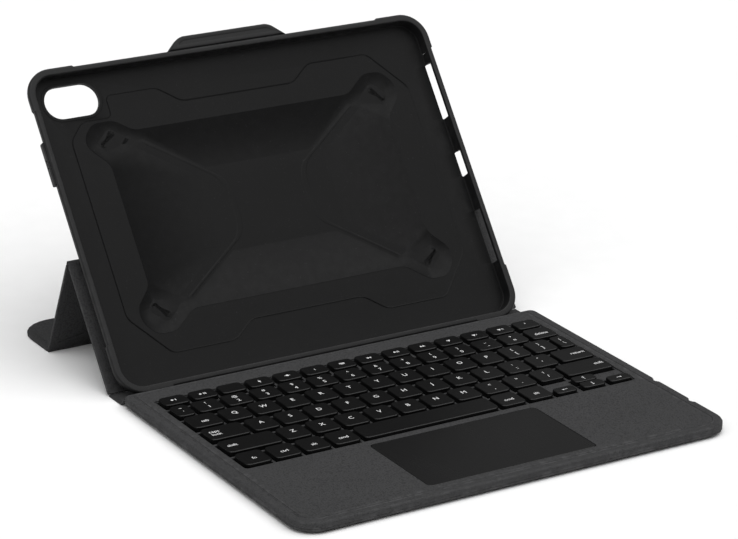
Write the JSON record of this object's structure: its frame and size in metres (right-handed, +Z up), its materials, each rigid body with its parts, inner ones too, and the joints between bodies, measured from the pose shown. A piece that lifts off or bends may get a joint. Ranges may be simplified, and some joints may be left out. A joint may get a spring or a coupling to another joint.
{
  "type": "tablet keyboard case",
  "caption": "Folding keyboard case with a rugged tablet shell on a fold-out cover stand, a full keyboard with a trackpad, and a camera opening.",
  "frame": {"origin": "centre of the footprint, on the surface it stands on", "axes": "+Z up, -Y towards the typist, +X to the typist's right"},
  "size_m": [0.264, 0.3166, 0.1568],
  "materials": {
    "cover_skin": "fine grained synthetic leather, dark grey, matt",
    "deck_skin": "fine grained synthetic leather, dark grey, matt",
    "hard_black": "moulded, matt",
    "rubber_black": "moulded, matt",
    "key_black": "satin",
    "pad_black": "fine matt film",
    "dome_rubber": "translucent sheet",
    "board_green": "lacquered board",
    "cell_silver": "pouch foil",
    "socket_black": "moulded",
    "switch_grey": "moulded, matt"
  },
  "bodies": {
    "base": {"base_bottom_skin": "cover_skin", "base_tray": "hard_black", "deck_plate": "hard_black", "base_top_skin": "deck_skin", "circuit_board": "board_green", "dome_sheet": "dome_rubber", "battery_left": "cell_silver", "battery_right": "cell_silver", "charge_socket": "socket_black", "spine_fabric": "cover_skin"},
    "shell": {"shell_plate": "hard_black", "rail_top": "rubber_black", "rail_bottom": "rubber_black", "rail_left": "rubber_black", "rail_right": "rubber_black", "bumper_bottom_left": "rubber_black", "bumper_bottom_right": "rubber_black", "bumper_top_left": "rubber_black", "bumper_top_right": "rubber_black", "stylus_guard": "rubber_black", "back_panel": "cover_skin"},
    "leg": {"leg_crease": "cover_skin", "leg_panel": "cover_skin"},
    "flap": {"flap_crease": "cover_skin", "flap_panel": "cover_skin"},
    "trackpad": {"trackpad": "pad_black"},
    "power_switch": {"power_switch": "switch_grey"},
    "power_button_cover": {"power_button_cover": "rubber_black"},
    "key_q": {"key_q": "key_black"},
    "key_w": {"key_w": "key_black"},
    "key_e": {"key_e": "key_black"},
    "key_r": {"key_r": "key_black"},
    "key_t": {"key_t": "key_black"},
    "key_y": {"key_y": "key_black"},
    "key_u": {"key_u": "key_black"},
    "key_i": {"key_i": "key_black"},
    "key_o": {"key_o": "key_black"},
    "key_p": {"key_p": "key_black"},
    "key_a": {"key_a": "key_black"},
    "key_s": {"key_s": "key_black"},
    "key_d": {"key_d": "key_black"},
    "key_f": {"key_f": "key_black"},
    "key_g": {"key_g": "key_black"},
    "key_h": {"key_h": "key_black"},
    "key_j": {"key_j": "key_black"},
    "key_k": {"key_k": "key_black"},
    "key_l": {"key_l": "key_black"},
    "key_z": {"key_z": "key_black"},
    "key_x": {"key_x": "key_black"},
    "key_c": {"key_c": "key_black"},
    "key_v": {"key_v": "key_black"},
    "key_b": {"key_b": "key_black"},
    "key_n": {"key_n": "key_black"},
    "key_m": {"key_m": "key_black"},
    "key_space": {"key_space": "key_black"},
    "function_row": {"function_row": "key_black"},
    "number_row": {"number_row": "key_black"},
    "left_modifiers": {"left_modifiers": "key_black"},
    "right_modifiers": {"right_modifiers": "key_black"},
    "arrow_keys": {"arrow_keys": "key_black"}
  },
  "joints": [
    {"name": "case_fold", "type": "hinge", "parent": "base", "child": "shell", "pos_m": [0, 0.0303, 0.00509], "axis": [1, 0, 0], "range_deg": [0, 127.92], "deforming": ["spine_fabric"]},
    {"name": "leg_turn", "type": "hinge", "parent": "shell", "child": "leg", "pos_m": [0, 0.09195, 0.06111], "axis": [1, 0, 0], "range_deg": [0, 119.8]},
    {"name": "flap_turn", "type": "hinge", "parent": "leg", "child": "flap", "pos_m": [0, 0.11673, 0.0008], "axis": [1, 0, 0], "range_deg": [-67.7, 0]},
    {"name": "pad_click", "type": "slide", "parent": "base", "child": "trackpad", "axis": [0, 0, -1], "range_m": [0, 0.00035], "stiffness_N_per_m": 3000, "springref_m": -0.0002},
    {"name": "power_button_press", "type": "slide", "parent": "shell", "child": "power_button_cover", "axis": [1, 0, 0], "range_m": [0, 0.0006], "stiffness_N_per_m": 1500, "springref_m": -0.0003},
    {"name": "power_switch_slide", "type": "slide", "parent": "base", "child": "power_switch", "axis": [0, 1, 0], "range_m": [0, 0.0025]},
    {"name": "travel_key_q", "type": "slide", "parent": "base", "child": "key_q", "axis": [0, 0, -1], "range_m": [0, 0.0012], "stiffness_N_per_m": 300, "springref_m": -0.001},
    {"name": "travel_key_w", "type": "slide", "parent": "base", "child": "key_w", "axis": [0, 0, -1], "range_m": [0, 0.0012], "stiffness_N_per_m": 300, "springref_m": -0.001},
    {"name": "travel_key_e", "type": "slide", "parent": "base", "child": "key_e", "axis": [0, 0, -1], "range_m": [0, 0.0012], "stiffness_N_per_m": 300, "springref_m": -0.001},
    {"name": "travel_key_r", "type": "slide", "parent": "base", "child": "key_r", "axis": [0, 0, -1], "range_m": [0, 0.0012], "stiffness_N_per_m": 300, "springref_m": -0.001},
    {"name": "travel_key_t", "type": "slide", "parent": "base", "child": "key_t", "axis": [0, 0, -1], "range_m": [0, 0.0012], "stiffness_N_per_m": 300, "springref_m": -0.001},
    {"name": "travel_key_y", "type": "slide", "parent": "base", "child": "key_y", "axis": [0, 0, -1], "range_m": [0, 0.0012], "stiffness_N_per_m": 300, "springref_m": -0.001},
    {"name": "travel_key_u", "type": "slide", "parent": "base", "child": "key_u", "axis": [0, 0, -1], "range_m": [0, 0.0012], "stiffness_N_per_m": 300, "springref_m": -0.001},
    {"name": "travel_key_i", "type": "slide", "parent": "base", "child": "key_i", "axis": [0, 0, -1], "range_m": [0, 0.0012], "stiffness_N_per_m": 300, "springref_m": -0.001},
    {"name": "travel_key_o", "type": "slide", "parent": "base", "child": "key_o", "axis": [0, 0, -1], "range_m": [0, 0.0012], "stiffness_N_per_m": 300, "springref_m": -0.001},
    {"name": "travel_key_p", "type": "slide", "parent": "base", "child": "key_p", "axis": [0, 0, -1], "range_m": [0, 0.0012], "stiffness_N_per_m": 300, "springref_m": -0.001},
    {"name": "travel_key_a", "type": "slide", "parent": "base", "child": "key_a", "axis": [0, 0, -1], "range_m": [0, 0.0012], "stiffness_N_per_m": 300, "springref_m": -0.001},
    {"name": "travel_key_s", "type": "slide", "parent": "base", "child": "key_s", "axis": [0, 0, -1], "range_m": [0, 0.0012], "stiffness_N_per_m": 300, "springref_m": -0.001},
    {"name": "travel_key_d", "type": "slide", "parent": "base", "child": "key_d", "axis": [0, 0, -1], "range_m": [0, 0.0012], "stiffness_N_per_m": 300, "springref_m": -0.001},
    {"name": "travel_key_f", "type": "slide", "parent": "base", "child": "key_f", "axis": [0, 0, -1], "range_m": [0, 0.0012], "stiffness_N_per_m": 300, "springref_m": -0.001},
    {"name": "travel_key_g", "type": "slide", "parent": "base", "child": "key_g", "axis": [0, 0, -1], "range_m": [0, 0.0012], "stiffness_N_per_m": 300, "springref_m": -0.001},
    {"name": "travel_key_h", "type": "slide", "parent": "base", "child": "key_h", "axis": [0, 0, -1], "range_m": [0, 0.0012], "stiffness_N_per_m": 300, "springref_m": -0.001},
    {"name": "travel_key_j", "type": "slide", "parent": "base", "child": "key_j", "axis": [0, 0, -1], "range_m": [0, 0.0012], "stiffness_N_per_m": 300, "springref_m": -0.001},
    {"name": "travel_key_k", "type": "slide", "parent": "base", "child": "key_k", "axis": [0, 0, -1], "range_m": [0, 0.0012], "stiffness_N_per_m": 300, "springref_m": -0.001},
    {"name": "travel_key_l", "type": "slide", "parent": "base", "child": "key_l", "axis": [0, 0, -1], "range_m": [0, 0.0012], "stiffness_N_per_m": 300, "springref_m": -0.001},
    {"name": "travel_key_z", "type": "slide", "parent": "base", "child": "key_z", "axis": [0, 0, -1], "range_m": [0, 0.0012], "stiffness_N_per_m": 300, "springref_m": -0.001},
    {"name": "travel_key_x", "type": "slide", "parent": "base", "child": "key_x", "axis": [0, 0, -1], "range_m": [0, 0.0012], "stiffness_N_per_m": 300, "springref_m": -0.001},
    {"name": "travel_key_c", "type": "slide", "parent": "base", "child": "key_c", "axis": [0, 0, -1], "range_m": [0, 0.0012], "stiffness_N_per_m": 300, "springref_m": -0.001},
    {"name": "travel_key_v", "type": "slide", "parent": "base", "child": "key_v", "axis": [0, 0, -1], "range_m": [0, 0.0012], "stiffness_N_per_m": 300, "springref_m": -0.001},
    {"name": "travel_key_b", "type": "slide", "parent": "base", "child": "key_b", "axis": [0, 0, -1], "range_m": [0, 0.0012], "stiffness_N_per_m": 300, "springref_m": -0.001},
    {"name": "travel_key_n", "type": "slide", "parent": "base", "child": "key_n", "axis": [0, 0, -1], "range_m": [0, 0.0012], "stiffness_N_per_m": 300, "springref_m": -0.001},
    {"name": "travel_key_m", "type": "slide", "parent": "base", "child": "key_m", "axis": [0, 0, -1], "range_m": [0, 0.0012], "stiffness_N_per_m": 300, "springref_m": -0.001},
    {"name": "travel_key_space", "type": "slide", "parent": "base", "child": "key_space", "axis": [0, 0, -1], "range_m": [0, 0.0012], "stiffness_N_per_m": 900, "springref_m": -0.001},
    {"name": "travel_function_row", "type": "slide", "parent": "base", "child": "function_row", "axis": [0, 0, -1], "range_m": [0, 0.0012], "stiffness_N_per_m": 900, "springref_m": -0.001},
    {"name": "travel_number_row", "type": "slide", "parent": "base", "child": "number_row", "axis": [0, 0, -1], "range_m": [0, 0.0012], "stiffness_N_per_m": 900, "springref_m": -0.001},
    {"name": "travel_left_modifiers", "type": "slide", "parent": "base", "child": "left_modifiers", "axis": [0, 0, -1], "range_m": [0, 0.0012], "stiffness_N_per_m": 900, "springref_m": -0.001},
    {"name": "travel_right_modifiers", "type": "slide", "parent": "base", "child": "right_modifiers", "axis": [0, 0, -1], "range_m": [0, 0.0012], "stiffness_N_per_m": 900, "springref_m": -0.001},
    {"name": "travel_arrow_keys", "type": "slide", "parent": "base", "child": "arrow_keys", "axis": [0, 0, -1], "range_m": [0, 0.0012], "stiffness_N_per_m": 900, "springref_m": -0.001}
  ],
  "couplings": [
    {"joint": "leg_turn", "follows": "case_fold", "ratio": 0.93607},
    {"joint": "flap_turn", "follows": "case_fold", "ratio": -0.52894}
  ]
}
